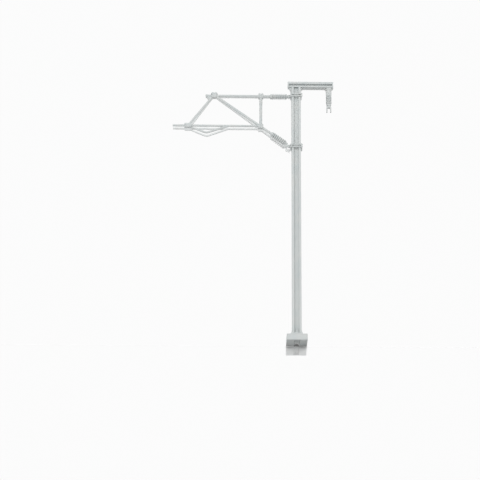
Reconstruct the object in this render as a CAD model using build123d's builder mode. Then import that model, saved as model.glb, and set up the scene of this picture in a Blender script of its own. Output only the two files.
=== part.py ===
"""Model railway catenary mast, N scale (1:150): an H-section mast on a foundation block, with a cross arm
and feeder insulator at its head and a hinged-bracket cantilever on two long-rod insulators at its side.

Millimetres. +Z is up and the origin is the centre of the foundation block's underside. The cantilever
reaches towards -X, over the track, and the feeder arm towards +X. The front of the mast faces -Y.
"""

import os

from build123d import *

os.makedirs("parts", exist_ok=True)

# ---------------------------------------------------------------- driving dimensions
# Foundation block with its half-round keyway, and the plinth on it
BLOCK_WIDTH = 4.2
BLOCK_DEPTH = 5.0
BLOCK_HEIGHT = 1.28
BLOCK_EDGE = 0.14
BLOCK_TOP_EDGE = 0.07
KEYWAY_RADIUS = 0.56
KEYWAY_FRONT_WALL = 0.4
PLINTH_HEIGHT = 0.68
PLINTH_MARGIN = 0.25
PLINTH_CHAMFER = 0.1

# Mast: a moulded H section
MAST_WIDTH = 1.94
MAST_DEPTH = 1.65
MAST_FLANGE = 0.48
MAST_WEB = 0.5
MAST_LENGTH = 54.62
MAST_ROOT_RADIUS = 0.12

# Gussets that stiffen the mast's foot
SIDE_GUSSET_HEIGHT = 0.95
SIDE_GUSSET_THICKNESS = 0.4
WEB_GUSSET_HEIGHT = 1.2
WEB_GUSSET_DEPTH = 0.35

# Cross arm: a section with unequal flanges, closed by a plate at each end
ARM_HEIGHT = 1.24
ARM_DEPTH = 1.6
ARM_TOP_FLANGE = 0.5
ARM_BOTTOM_FLANGE = 0.25
ARM_WEB = 0.55
ARM_END_PLATE = 0.25
ARM_TRACK_REACH = 1.78
ARM_FEEDER_REACH = 7.92
ARM_EDGE = 0.08
TRACK_GUSSET_HEIGHT = 1.2
FEEDER_GUSSET_WIDTH = 0.4
FEEDER_GUSSET_HEIGHT = 0.65
ARM_GUSSET_THICKNESS = 0.9
ARM_GUSSET_HOLLOW = 0.22

# Feeder wire support, hung from the cross arm
FEEDER_INSET = 0.94
HANGER_RADIUS = 0.68
HANGER_HEIGHT = 0.5
FEEDER_SLEEVE_RADIUS = 0.58
FEEDER_SLEEVE_LENGTH = 1.28
FEEDER_SHED_COUNT = 5
FEEDER_SHED_PITCH = 0.376
FEEDER_SHED_RADIUS = 0.6
FEEDER_CORE_RADIUS = 0.42
FORK_BOSS_RADIUS = 0.5
FORK_BOSS_LENGTH = 0.4
FORK_NECK_RADIUS = 0.36
FORK_NECK_LENGTH = 0.3
FORK_WIDTH = 1.06
FORK_GAP = 0.56
FORK_DEPTH = 0.5
FORK_YOKE_HEIGHT = 0.26
FORK_LEG_LENGTH = 0.95

# Mast clamps: two cheek plates drawn together by four tie rods
UPPER_CLAMP_DROP = 1.93
CLAMP_SPACING = 11.73
CLAMP_HALF_HEIGHT = 0.45
CLAMP_CHEEK = 0.22
TIE_ROD_RADIUS = 0.13
TIE_ROD_PITCH = 0.46
TIE_ROD_EDGE = 0.1
NUT_RADIUS = 0.2
NUT_THICKNESS = 0.12
EAR_THICKNESS = 0.14
EAR_RADIUS = 0.24
CHEEK_CORNER = 0.1

# Hinge pins of the two insulators
PIN_OFFSET = 0.3
PIN_RADIUS = 0.1
PIN_HEAD_RADIUS = 0.18
PIN_HEAD_HEIGHT = 0.08
PIN_TAIL = 0.08
PIN_CLEARANCE = 0.02
TONGUE_THICKNESS = 0.26
TONGUE_CLEARANCE = 0.02
EYE_RADIUS = 0.22
LINK_RADIUS = 0.17
LINK_LUG_RADIUS = 0.2
LINK_LUG_THICKNESS = 0.34
LINK_CLEARANCE = 0.05
LINK_RISE = 0.52

# Long-rod insulators of the cantilever
SHED_COUNT = 7
SHED_PITCH = 0.427
SHED_RADIUS = 0.55
SHED_THICKNESS_SHARE = 0.62
SHED_SIDE_ANGLE = 85
CORE_RADIUS = 0.3
CAP_RADIUS = 0.5
CAP_NOSE_RADIUS = 0.3
MAST_CAP_LENGTH = 0.34
TUBE_CAP_LENGTH = 0.43

# Cantilever frame, in the plane Y = 0: reaches are from the mast's axis, or from one corner to the next
STRUT_REACH = 7.5
APEX_REACH = 17.45
TOP_TUBE_OVERHANG = 1.85
RAKE_REACH = 5.5
BRACKET_HEAD_INSET = 0.2
RAKE_HEAD_INSET = 0.25
REGISTRATION_RISE = 0.1
REGISTRATION_OVERHANG = 3.2
TOP_TUBE_RADIUS = 0.27
BRACKET_TUBE_RADIUS = 0.26
STRUT_RADIUS = 0.27
RAKE_TUBE_RADIUS = 0.22
REGISTRATION_TUBE_RADIUS = 0.225
TUBE_CLEARANCE = 0.02

# Fittings of the frame
FITTING_DEPTH = 0.8
FITTING_EDGE = 0.1
TUBE_STOP_RADIUS = 0.34
TUBE_STOP_LENGTH = 0.4
STRUT_CLAMP_WIDTH = 1.08
STRUT_CLAMP_HEIGHT = 0.95
STUD_RADIUS = 0.13
STUD_HEIGHT = 0.3
STUD_SPACING = 0.6
SLEEVE_RADIUS = 0.34
SLEEVE_LENGTH = 1.45
KNUCKLE_WIDTH = 1.1
KNUCKLE_HEIGHT = 0.95
APEX_CLAMP_WIDTH = 1.05
APEX_CLAMP_HEIGHT = 0.95
SADDLE_FOOT = 1.4
SADDLE_TOP = 0.95
SADDLE_HEIGHT = 0.28
SADDLE_DEPTH = 0.6
REGISTRATION_CLAMP_WIDTH = 1.5
REGISTRATION_CLAMP_HEIGHT = 0.92
RAKE_FOOT_INSET = 0.36

# Steady arm, bowed down under the registration tube
STEADY_ARM_RADIUS = 0.22
STEADY_ARM_DROP = 1.65
STEADY_ARM_LOW_REACH = 3.2
STEADY_ARM_LENGTH = 7.9
STEADY_ARM_BEND = 1.6

# ---------------------------------------------------------------- sizes that follow from them
PLINTH_WIDTH = MAST_WIDTH + 2 * PLINTH_MARGIN
PLINTH_DEPTH = MAST_DEPTH + 2 * PLINTH_MARGIN
MAST_FOOT_Z = BLOCK_HEIGHT + PLINTH_HEIGHT
MAST_TOP_Z = MAST_FOOT_Z + MAST_LENGTH
MAST_SIDE = MAST_WIDTH / 2
RECESS_WIDTH = MAST_WIDTH - 2 * MAST_FLANGE
RECESS_DEPTH = (MAST_DEPTH - MAST_WEB) / 2

UPPER_CLAMP_Z = MAST_TOP_Z - UPPER_CLAMP_DROP
LOWER_CLAMP_Z = UPPER_CLAMP_Z - CLAMP_SPACING
CHEEK_FACE = MAST_SIDE + CLAMP_CHEEK
TIE_ROD_Y = MAST_DEPTH / 2 + TIE_ROD_RADIUS
CLAMP_DEPTH = 2 * (TIE_ROD_Y + TIE_ROD_RADIUS + TIE_ROD_EDGE)
PIN_X = -(CHEEK_FACE + PIN_OFFSET)
EAR_INNER = TONGUE_THICKNESS / 2 + TONGUE_CLEARANCE
EAR_OUTER = EAR_INNER + EAR_THICKNESS
LINK_X = PIN_X - EAR_RADIUS - LINK_CLEARANCE - LINK_LUG_RADIUS

# Corners of the cantilever frame: its bracket tube and lower insulator share one line
LOWER_PIVOT_Z = LOWER_CLAMP_Z + CLAMP_HALF_HEIGHT - EAR_OUTER
LINK_TOP = Vector(LINK_X, 0, LOWER_PIVOT_Z + LINK_RISE)
APEX = Vector(-APEX_REACH, 0, UPPER_CLAMP_Z)
BRACKET_HEAD = APEX + Vector(BRACKET_HEAD_INSET, 0, 0)
RAKE_HEAD = APEX - Vector(RAKE_HEAD_INSET, 0, 0)
BRACE_DIRECTION = (LINK_TOP - BRACKET_HEAD).normalized()
KNUCKLE = BRACKET_HEAD + BRACE_DIRECTION * ((-STRUT_REACH - BRACKET_HEAD.X) / BRACE_DIRECTION.X)
LOWER_NOSE = LINK_TOP - BRACE_DIRECTION * (LINK_LUG_RADIUS + LINK_CLEARANCE)
UPPER_NOSE = Vector(PIN_X - EAR_RADIUS - LINK_CLEARANCE, 0, UPPER_CLAMP_Z)
INSULATOR_LENGTH = MAST_CAP_LENGTH + SHED_COUNT * SHED_PITCH + TUBE_CAP_LENGTH

REGISTRATION_END = KNUCKLE + Vector(0, 0, REGISTRATION_RISE)
REGISTRATION_CLAMP = Vector(-APEX_REACH - RAKE_REACH, 0, REGISTRATION_END.Z)
REGISTRATION_START = REGISTRATION_CLAMP - Vector(REGISTRATION_OVERHANG, 0, 0)
REGISTRATION_CLAMP_FACE = REGISTRATION_CLAMP + Vector(REGISTRATION_CLAMP_WIDTH / 2, 0, 0)
RAKE_FOOT = REGISTRATION_CLAMP_FACE + Vector(-RAKE_FOOT_INSET, 0, REGISTRATION_CLAMP_HEIGHT / 2)
RAKE_END = RAKE_FOOT + (RAKE_FOOT - RAKE_HEAD).normalized() * RAKE_TUBE_RADIUS


def save(piece, name):
    """Label a finished piece and write it as its own STEP file."""
    piece.part.label = name
    export_step(piece.part, f"parts/{name}.step")


def facing(start, end):
    """The plane at start that faces end, with its local X across the cantilever."""
    return Plane(origin=start, x_dir=(0, 1, 0), z_dir=end - start)


def lengthwise(start, end):
    """The plane through start and end, with its local X running from one to the other."""
    return Plane(origin=start, x_dir=end - start, z_dir=(0, -1, 0))


def round_bar(start, end, radius):
    """A round bar between two points of the cantilever's plane."""
    with BuildPart() as bar:
        with BuildSketch(facing(start, end)):
            Circle(radius)
        extrude(amount=(end - start).length)
    return bar.part


def block(centre, width, height, depth):
    """A plain block centred on a point, the space that a fitting fills."""
    with BuildPart() as space:
        with Locations(centre):
            Box(width, depth, height)
    return space.part


def tube_fitting(centre, width, height):
    """A block with rounded edges along the frame's depth, the body of a tube clamp."""
    with BuildPart() as fitting:
        with BuildSketch(Plane.XZ.offset(-FITTING_DEPTH / 2)):
            with Locations((centre.X, centre.Z)):
                RectangleRounded(width, height, FITTING_EDGE)
        extrude(amount=FITTING_DEPTH)
    return fitting.part


def shed_rod(start, end, count, shed_radius, core_radius):
    """The ribbed body of a long-rod insulator: a core with tapered sheds, turned about its axis."""
    pitch = (end - start).length / count
    thickness = SHED_THICKNESS_SHARE * pitch
    with BuildPart() as rod:
        with BuildSketch(lengthwise(start, end)):
            Rectangle(count * pitch, core_radius, align=(Align.MIN, Align.MIN))
            with Locations([((shed + 0.5) * pitch, 0) for shed in range(count)]):
                Trapezoid(thickness, shed_radius, SHED_SIDE_ANGLE, align=(Align.CENTER, Align.MIN))
        revolve(axis=Axis(start, end - start))
    return rod


def insulator_cap(start, end, start_radius, end_radius):
    """A metal end cap of an insulator, a cone or cylinder between two points."""
    with BuildPart() as cap:
        with BuildSketch(facing(start, end)):
            Circle(start_radius)
        with BuildSketch(facing(end, end + (end - start))):
            Circle(end_radius)
        loft()
    return cap


def mast_clamp(centre_z, pivot_z):
    """A clamp round the mast: two cheeks, four tie rods with nuts, and two ears for a hinge pin."""
    with BuildPart() as clamp:
        cheek_places = [Plane.YZ.offset(-CHEEK_FACE), Plane.YZ.offset(MAST_SIDE)]
        with BuildSketch(*cheek_places):
            with Locations((0, centre_z)):
                RectangleRounded(CLAMP_DEPTH, 2 * CLAMP_HALF_HEIGHT, CHEEK_CORNER)
        extrude(amount=CLAMP_CHEEK)
        with BuildSketch(Plane.YZ.offset(-MAST_SIDE)):
            with Locations((0, centre_z)):
                with GridLocations(2 * TIE_ROD_Y, TIE_ROD_PITCH, 2, 2):
                    Circle(TIE_ROD_RADIUS)
        extrude(amount=MAST_WIDTH)
        with BuildSketch(Plane.YZ.offset(CHEEK_FACE)):
            with Locations((0, centre_z)):
                with GridLocations(2 * TIE_ROD_Y, TIE_ROD_PITCH, 2, 2):
                    RegularPolygon(NUT_RADIUS, 6)
        extrude(amount=NUT_THICKNESS)
        ear_planes = [Plane.XY.offset(pivot_z + EAR_INNER), Plane.XY.offset(pivot_z - EAR_OUTER)]
        with BuildSketch(*ear_planes):
            with Locations((PIN_X, 0)):
                Circle(EAR_RADIUS)
                Rectangle(-CHEEK_FACE - PIN_X, 2 * EAR_RADIUS, align=(Align.MIN, Align.CENTER))
                Circle(PIN_RADIUS + PIN_CLEARANCE, mode=Mode.SUBTRACT)
        extrude(amount=EAR_THICKNESS)
    return clamp


# ---------------------------------------------------------------- foundation and mast
with BuildPart() as foundation_block:
    with BuildSketch():
        RectangleRounded(BLOCK_WIDTH, BLOCK_DEPTH, BLOCK_EDGE)
    extrude(amount=BLOCK_HEIGHT)
    chamfer(faces().sort_by(Axis.Z)[-1].edges(), BLOCK_TOP_EDGE)
    with BuildSketch(Plane.XZ.offset(-BLOCK_DEPTH / 2)):
        Circle(KEYWAY_RADIUS)
    extrude(amount=BLOCK_DEPTH - KEYWAY_FRONT_WALL, mode=Mode.SUBTRACT)
save(foundation_block, "foundation_block")

with BuildPart() as mast_plinth:
    with BuildSketch(Plane.XY.offset(BLOCK_HEIGHT)):
        Rectangle(PLINTH_WIDTH, PLINTH_DEPTH)
    extrude(amount=PLINTH_HEIGHT)
    chamfer(faces().sort_by(Axis.Z)[-1].edges(), PLINTH_CHAMFER)
save(mast_plinth, "mast_plinth")

with BuildPart() as mast_column:
    with BuildSketch(Plane.XY.offset(MAST_FOOT_Z)) as h_section:
        Rectangle(MAST_WIDTH, MAST_DEPTH)
        with GridLocations(0, MAST_DEPTH - RECESS_DEPTH, 1, 2):
            Rectangle(RECESS_WIDTH, RECESS_DEPTH, mode=Mode.SUBTRACT)
        roots = h_section.vertices().filter_by(lambda v: abs(v.Y) < MAST_DEPTH / 2 - RECESS_DEPTH / 2)
        fillet(roots, MAST_ROOT_RADIUS)
    extrude(amount=MAST_LENGTH)
save(mast_column, "mast_column")

with BuildPart() as side_gussets:
    with BuildSketch(Plane.XZ.offset(-SIDE_GUSSET_THICKNESS / 2)):
        with BuildLine():
            Polyline(
                (MAST_SIDE, MAST_FOOT_Z),
                (PLINTH_WIDTH / 2 - PLINTH_CHAMFER, MAST_FOOT_Z),
                (MAST_SIDE, MAST_FOOT_Z + SIDE_GUSSET_HEIGHT),
                close=True,
            )
        make_face()
        mirror(about=Plane.YZ)
    extrude(amount=SIDE_GUSSET_THICKNESS)
save(side_gussets, "side_gussets")

web_gusset_half = RECESS_WIDTH / 2 - MAST_ROOT_RADIUS
with BuildPart() as web_gussets:
    with BuildSketch(Plane.XZ.offset(MAST_WEB / 2)):
        with BuildLine():
            Polyline(
                (-web_gusset_half, MAST_FOOT_Z),
                (web_gusset_half, MAST_FOOT_Z),
                (0, MAST_FOOT_Z + WEB_GUSSET_HEIGHT),
                close=True,
            )
        make_face()
    extrude(amount=WEB_GUSSET_DEPTH)
    mirror(about=Plane.XZ)
save(web_gussets, "web_gussets")

# ---------------------------------------------------------------- cross arm
arm_length = ARM_TRACK_REACH + ARM_FEEDER_REACH
arm_middle = (ARM_FEEDER_REACH - ARM_TRACK_REACH) / 2
pocket_height = ARM_HEIGHT - ARM_TOP_FLANGE - ARM_BOTTOM_FLANGE

with BuildPart() as cross_arm:
    with BuildSketch(Plane.YZ.offset(-ARM_TRACK_REACH)):
        with Locations((0, MAST_TOP_Z)):
            Rectangle(ARM_DEPTH, ARM_HEIGHT, align=(Align.CENTER, Align.MIN))
    extrude(amount=arm_length)
    fillet(edges().filter_by(Axis.X).group_by(Axis.Z)[-1], ARM_EDGE)
    pocket_planes = [Plane.XZ.offset(ARM_DEPTH / 2), Plane.XZ.offset(-ARM_WEB / 2)]
    with BuildSketch(*pocket_planes):
        with Locations((arm_middle, MAST_TOP_Z + ARM_BOTTOM_FLANGE)):
            Rectangle(arm_length - 2 * ARM_END_PLATE, pocket_height, align=(Align.CENTER, Align.MIN))
    extrude(amount=-(ARM_DEPTH - ARM_WEB) / 2, mode=Mode.SUBTRACT)
save(cross_arm, "cross_arm")

with BuildPart() as arm_gussets:
    with BuildSketch(Plane.XZ.offset(-ARM_GUSSET_THICKNESS / 2)):
        for side, width, height in (
            (-1, ARM_TRACK_REACH - MAST_SIDE, TRACK_GUSSET_HEIGHT),
            (1, FEEDER_GUSSET_WIDTH, FEEDER_GUSSET_HEIGHT),
        ):
            corner = (side * MAST_SIDE, MAST_TOP_Z)
            outer = (side * (MAST_SIDE + width), MAST_TOP_Z)
            foot = (side * MAST_SIDE, MAST_TOP_Z - height)
            with BuildLine():
                Polyline(foot, corner, outer)
                SagittaArc(outer, foot, -side * ARM_GUSSET_HOLLOW * width)
            make_face()
    extrude(amount=ARM_GUSSET_THICKNESS)
save(arm_gussets, "arm_gussets")

# ---------------------------------------------------------------- feeder wire support
feeder_x = ARM_FEEDER_REACH - FEEDER_INSET
hanger_foot = Vector(feeder_x, 0, MAST_TOP_Z - HANGER_HEIGHT)
sleeve_foot = hanger_foot - Vector(0, 0, FEEDER_SLEEVE_LENGTH)
feeder_rod_foot = sleeve_foot - Vector(0, 0, FEEDER_SHED_COUNT * FEEDER_SHED_PITCH)
boss_foot = feeder_rod_foot - Vector(0, 0, FORK_BOSS_LENGTH)
neck_foot = boss_foot - Vector(0, 0, FORK_NECK_LENGTH)

with BuildPart() as feeder_hanger:
    with BuildSketch(facing(Vector(feeder_x, 0, MAST_TOP_Z), hanger_foot)):
        Circle(HANGER_RADIUS)
    extrude(amount=HANGER_HEIGHT)
save(feeder_hanger, "feeder_hanger")

with BuildPart() as feeder_sleeve:
    with BuildSketch(facing(hanger_foot, sleeve_foot)):
        Circle(FEEDER_SLEEVE_RADIUS)
    extrude(amount=FEEDER_SLEEVE_LENGTH)
save(feeder_sleeve, "feeder_sleeve")

feeder_insulator = shed_rod(
    sleeve_foot, feeder_rod_foot, FEEDER_SHED_COUNT, FEEDER_SHED_RADIUS, FEEDER_CORE_RADIUS
)
save(feeder_insulator, "feeder_insulator")

with BuildPart() as feeder_fork:
    with BuildSketch(facing(feeder_rod_foot, boss_foot)):
        Circle(FORK_BOSS_RADIUS)
    extrude(amount=FORK_BOSS_LENGTH)
    with BuildSketch(facing(boss_foot, neck_foot)):
        Circle(FORK_NECK_RADIUS)
    extrude(amount=FORK_NECK_LENGTH)
    with BuildSketch(Plane.XZ.offset(-FORK_DEPTH / 2)):
        with Locations((feeder_x, neck_foot.Z)):
            Rectangle(FORK_WIDTH, FORK_YOKE_HEIGHT + FORK_LEG_LENGTH, align=(Align.CENTER, Align.MAX))
        with Locations((feeder_x, neck_foot.Z - FORK_YOKE_HEIGHT)):
            Rectangle(FORK_GAP, FORK_LEG_LENGTH, align=(Align.CENTER, Align.MAX), mode=Mode.SUBTRACT)
    extrude(amount=FORK_DEPTH)
save(feeder_fork, "feeder_fork")

# ---------------------------------------------------------------- clamps, pins and hinge links
upper_mast_clamp = mast_clamp(UPPER_CLAMP_Z, UPPER_CLAMP_Z)
save(upper_mast_clamp, "upper_mast_clamp")
lower_mast_clamp = mast_clamp(LOWER_CLAMP_Z, LOWER_PIVOT_Z)
save(lower_mast_clamp, "lower_mast_clamp")

with BuildPart() as hinge_pins:
    for pivot_z in (UPPER_CLAMP_Z, LOWER_PIVOT_Z):
        with BuildSketch(Plane.XY.offset(pivot_z - EAR_OUTER - PIN_TAIL)):
            with Locations((PIN_X, 0)):
                Circle(PIN_RADIUS)
        extrude(amount=2 * EAR_OUTER + PIN_TAIL)
        with BuildSketch(Plane.XY.offset(pivot_z + EAR_OUTER)):
            with Locations((PIN_X, 0)):
                Circle(PIN_HEAD_RADIUS)
        extrude(amount=PIN_HEAD_HEIGHT)
save(hinge_pins, "hinge_pins")

pin_line_foot = Vector(PIN_X, 0, LOWER_PIVOT_Z - EAR_OUTER)
pin_line_head = Vector(PIN_X, 0, UPPER_CLAMP_Z + EAR_OUTER)
pin_holes = round_bar(pin_line_foot, pin_line_head, PIN_RADIUS + PIN_CLEARANCE)
upper_shank = round_bar(UPPER_NOSE, Vector(PIN_X - EAR_RADIUS, 0, UPPER_CLAMP_Z), LINK_RADIUS)
lower_shank = round_bar(LOWER_NOSE, LINK_TOP, LINK_RADIUS)

with BuildPart() as upper_link:
    with BuildSketch(Plane.XY.offset(UPPER_CLAMP_Z - TONGUE_THICKNESS / 2)):
        with Locations((PIN_X, 0)):
            Circle(EYE_RADIUS)
            Rectangle(EAR_RADIUS + LINK_CLEARANCE, 2 * LINK_RADIUS, align=(Align.MAX, Align.CENTER))
    extrude(amount=TONGUE_THICKNESS)
    add(upper_shank)
    add(pin_holes, mode=Mode.SUBTRACT)
save(upper_link, "upper_link")

with BuildPart() as lower_link:
    with BuildSketch(Plane.XY.offset(LOWER_PIVOT_Z - TONGUE_THICKNESS / 2)):
        with Locations((PIN_X, 0)):
            Circle(EYE_RADIUS)
            Rectangle(PIN_X - LINK_X, LINK_LUG_THICKNESS, align=(Align.MAX, Align.CENTER))
    extrude(amount=TONGUE_THICKNESS)
    with BuildSketch(Plane.XZ.offset(-LINK_LUG_THICKNESS / 2)):
        with Locations((LINK_X, LINK_TOP.Z), (LINK_X, LOWER_PIVOT_Z)):
            Circle(LINK_LUG_RADIUS)
        with Locations((LINK_X, (LINK_TOP.Z + LOWER_PIVOT_Z) / 2)):
            Rectangle(2 * LINK_LUG_RADIUS, abs(LINK_TOP.Z - LOWER_PIVOT_Z))
    extrude(amount=LINK_LUG_THICKNESS)
    add(lower_shank)
    add(pin_holes, mode=Mode.SUBTRACT)
save(lower_link, "lower_link")

# ---------------------------------------------------------------- insulators of the cantilever
for prefix, nose, direction in (
    ("upper", UPPER_NOSE, Vector(-1, 0, 0)),
    ("lower", LOWER_NOSE, -BRACE_DIRECTION),
):
    cap_end = nose + direction * MAST_CAP_LENGTH
    rod_end = cap_end + direction * (SHED_COUNT * SHED_PITCH)
    tube_end = rod_end + direction * TUBE_CAP_LENGTH
    mast_cap = insulator_cap(nose, cap_end, CAP_NOSE_RADIUS, CAP_RADIUS)
    save(mast_cap, f"{prefix}_insulator_mast_cap")
    insulator = shed_rod(cap_end, rod_end, SHED_COUNT, SHED_RADIUS, CORE_RADIUS)
    save(insulator, f"{prefix}_insulator")
    tube_cap = insulator_cap(rod_end, tube_end, CAP_RADIUS, CAP_RADIUS)
    save(tube_cap, f"{prefix}_insulator_tube_cap")

# ---------------------------------------------------------------- cantilever frame
top_tube_start = UPPER_NOSE - Vector(INSULATOR_LENGTH, 0, 0)
top_tube_end = APEX - Vector(TOP_TUBE_OVERHANG - TUBE_STOP_LENGTH, 0, 0)
lower_tube_end = LOWER_NOSE - BRACE_DIRECTION * INSULATOR_LENGTH
strut_clamp_centre = Vector(-STRUT_REACH, 0, UPPER_CLAMP_Z)
strut_sleeve_top = strut_clamp_centre - Vector(0, 0, STRUT_CLAMP_HEIGHT / 2)
strut_sleeve_foot = strut_sleeve_top - Vector(0, 0, SLEEVE_LENGTH)
strut_foot = KNUCKLE + Vector(0, 0, KNUCKLE_HEIGHT / 2)

top_tube_space = round_bar(top_tube_start, top_tube_end, TOP_TUBE_RADIUS + TUBE_CLEARANCE)
registration_bore = REGISTRATION_TUBE_RADIUS + TUBE_CLEARANCE
registration_space = round_bar(REGISTRATION_START, REGISTRATION_END, registration_bore)
bracket_space = round_bar(BRACKET_HEAD, KNUCKLE, BRACKET_TUBE_RADIUS + TUBE_CLEARANCE)
strut_space = round_bar(strut_sleeve_foot, strut_foot, STRUT_RADIUS + TUBE_CLEARANCE)
apex_space = block(APEX, APEX_CLAMP_WIDTH, APEX_CLAMP_HEIGHT, 2 * FITTING_DEPTH)
knuckle_space = block(KNUCKLE, KNUCKLE_WIDTH, KNUCKLE_HEIGHT, 2 * FITTING_DEPTH)
registration_clamp_space = block(
    REGISTRATION_CLAMP, REGISTRATION_CLAMP_WIDTH, REGISTRATION_CLAMP_HEIGHT, 2 * FITTING_DEPTH
)

with BuildPart() as top_tube:
    with BuildSketch(facing(top_tube_start, top_tube_end)):
        Circle(TOP_TUBE_RADIUS)
    extrude(amount=(top_tube_end - top_tube_start).length)
save(top_tube, "top_tube")

with BuildPart() as top_tube_stop:
    with BuildSketch(facing(top_tube_end, top_tube_end - Vector(TUBE_STOP_LENGTH, 0, 0))):
        Circle(TUBE_STOP_RADIUS)
    extrude(amount=TUBE_STOP_LENGTH)
save(top_tube_stop, "top_tube_stop")

strut_clamp_body = tube_fitting(strut_clamp_centre, STRUT_CLAMP_WIDTH, STRUT_CLAMP_HEIGHT)
with BuildPart() as strut_clamp:
    add(strut_clamp_body)
    add(top_tube_space, mode=Mode.SUBTRACT)
    with BuildSketch(Plane.XY.offset(strut_clamp_centre.Z + STRUT_CLAMP_HEIGHT / 2)):
        with Locations((-STRUT_REACH, 0)):
            with GridLocations(STUD_SPACING, 0, 2, 1):
                Circle(STUD_RADIUS)
    extrude(amount=STUD_HEIGHT)
save(strut_clamp, "strut_clamp")

with BuildPart() as strut_sleeve:
    with BuildSketch(facing(strut_sleeve_top, strut_sleeve_foot)):
        Circle(SLEEVE_RADIUS)
    extrude(amount=SLEEVE_LENGTH)
save(strut_sleeve, "strut_sleeve")

with BuildPart() as strut:
    with BuildSketch(facing(strut_sleeve_foot, strut_foot)):
        Circle(STRUT_RADIUS)
    extrude(amount=(strut_foot - strut_sleeve_foot).length)
save(strut, "strut")

with BuildPart() as knuckle:
    add(tube_fitting(KNUCKLE, KNUCKLE_WIDTH, KNUCKLE_HEIGHT))
save(knuckle, "knuckle")

with BuildPart() as bracket_tube:
    with BuildSketch(facing(BRACKET_HEAD, KNUCKLE)):
        Circle(BRACKET_TUBE_RADIUS)
    extrude(amount=(KNUCKLE - BRACKET_HEAD).length)
    add(top_tube_space, mode=Mode.SUBTRACT)
    add(strut_space, mode=Mode.SUBTRACT)
    add(apex_space, mode=Mode.SUBTRACT)
    add(knuckle_space, mode=Mode.SUBTRACT)
save(bracket_tube, "bracket_tube")

with BuildPart() as bracket_tail:
    with BuildSketch(facing(KNUCKLE, lower_tube_end)):
        Circle(BRACKET_TUBE_RADIUS)
    extrude(amount=(lower_tube_end - KNUCKLE).length)
    add(knuckle_space, mode=Mode.SUBTRACT)
save(bracket_tail, "bracket_tail")

with BuildPart() as apex_clamp:
    add(tube_fitting(APEX, APEX_CLAMP_WIDTH, APEX_CLAMP_HEIGHT))
    add(top_tube_space, mode=Mode.SUBTRACT)
save(apex_clamp, "apex_clamp")

with BuildPart() as messenger_saddle:
    with BuildSketch(Plane.XZ.offset(-SADDLE_DEPTH / 2)):
        with BuildLine():
            Polyline(
                (APEX.X - SADDLE_FOOT / 2, APEX.Z + APEX_CLAMP_HEIGHT / 2),
                (APEX.X + SADDLE_FOOT / 2, APEX.Z + APEX_CLAMP_HEIGHT / 2),
                (APEX.X + SADDLE_TOP / 2, APEX.Z + APEX_CLAMP_HEIGHT / 2 + SADDLE_HEIGHT),
                (APEX.X - SADDLE_TOP / 2, APEX.Z + APEX_CLAMP_HEIGHT / 2 + SADDLE_HEIGHT),
                close=True,
            )
        make_face()
    extrude(amount=SADDLE_DEPTH)
save(messenger_saddle, "messenger_saddle")

with BuildPart() as rake_tube:
    with BuildSketch(facing(RAKE_HEAD, RAKE_END)):
        Circle(RAKE_TUBE_RADIUS)
    extrude(amount=(RAKE_END - RAKE_HEAD).length)
    add(top_tube_space, mode=Mode.SUBTRACT)
    add(apex_space, mode=Mode.SUBTRACT)
    add(registration_clamp_space, mode=Mode.SUBTRACT)
save(rake_tube, "rake_tube")

with BuildPart() as registration_tube:
    with BuildSketch(facing(REGISTRATION_START, REGISTRATION_END)):
        Circle(REGISTRATION_TUBE_RADIUS)
    extrude(amount=(REGISTRATION_END - REGISTRATION_START).length)
    add(bracket_space, mode=Mode.SUBTRACT)
    add(knuckle_space, mode=Mode.SUBTRACT)
save(registration_tube, "registration_tube")

with BuildPart() as registration_clamp:
    add(tube_fitting(REGISTRATION_CLAMP, REGISTRATION_CLAMP_WIDTH, REGISTRATION_CLAMP_HEIGHT))
    add(registration_space, mode=Mode.SUBTRACT)
save(registration_clamp, "registration_clamp")

arm_start = REGISTRATION_CLAMP_FACE - Vector(2 * STEADY_ARM_RADIUS, 0, REGISTRATION_TUBE_RADIUS)
arm_low = REGISTRATION_CLAMP_FACE + Vector(STEADY_ARM_LOW_REACH, 0, -STEADY_ARM_DROP)
arm_end = REGISTRATION_CLAMP_FACE + Vector(STEADY_ARM_LENGTH, 0, 0)

with BuildPart() as steady_arm:
    with BuildLine() as bow:
        FilletPolyline(arm_start, arm_low, arm_end, radius=STEADY_ARM_BEND)
    with BuildSketch(facing(arm_start, arm_low)):
        Circle(STEADY_ARM_RADIUS)
    sweep()
    add(registration_space, mode=Mode.SUBTRACT)
    add(registration_clamp_space, mode=Mode.SUBTRACT)
save(steady_arm, "steady_arm")
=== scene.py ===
import math

import bmesh
import bpy
from mathutils import Matrix, Vector


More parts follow.
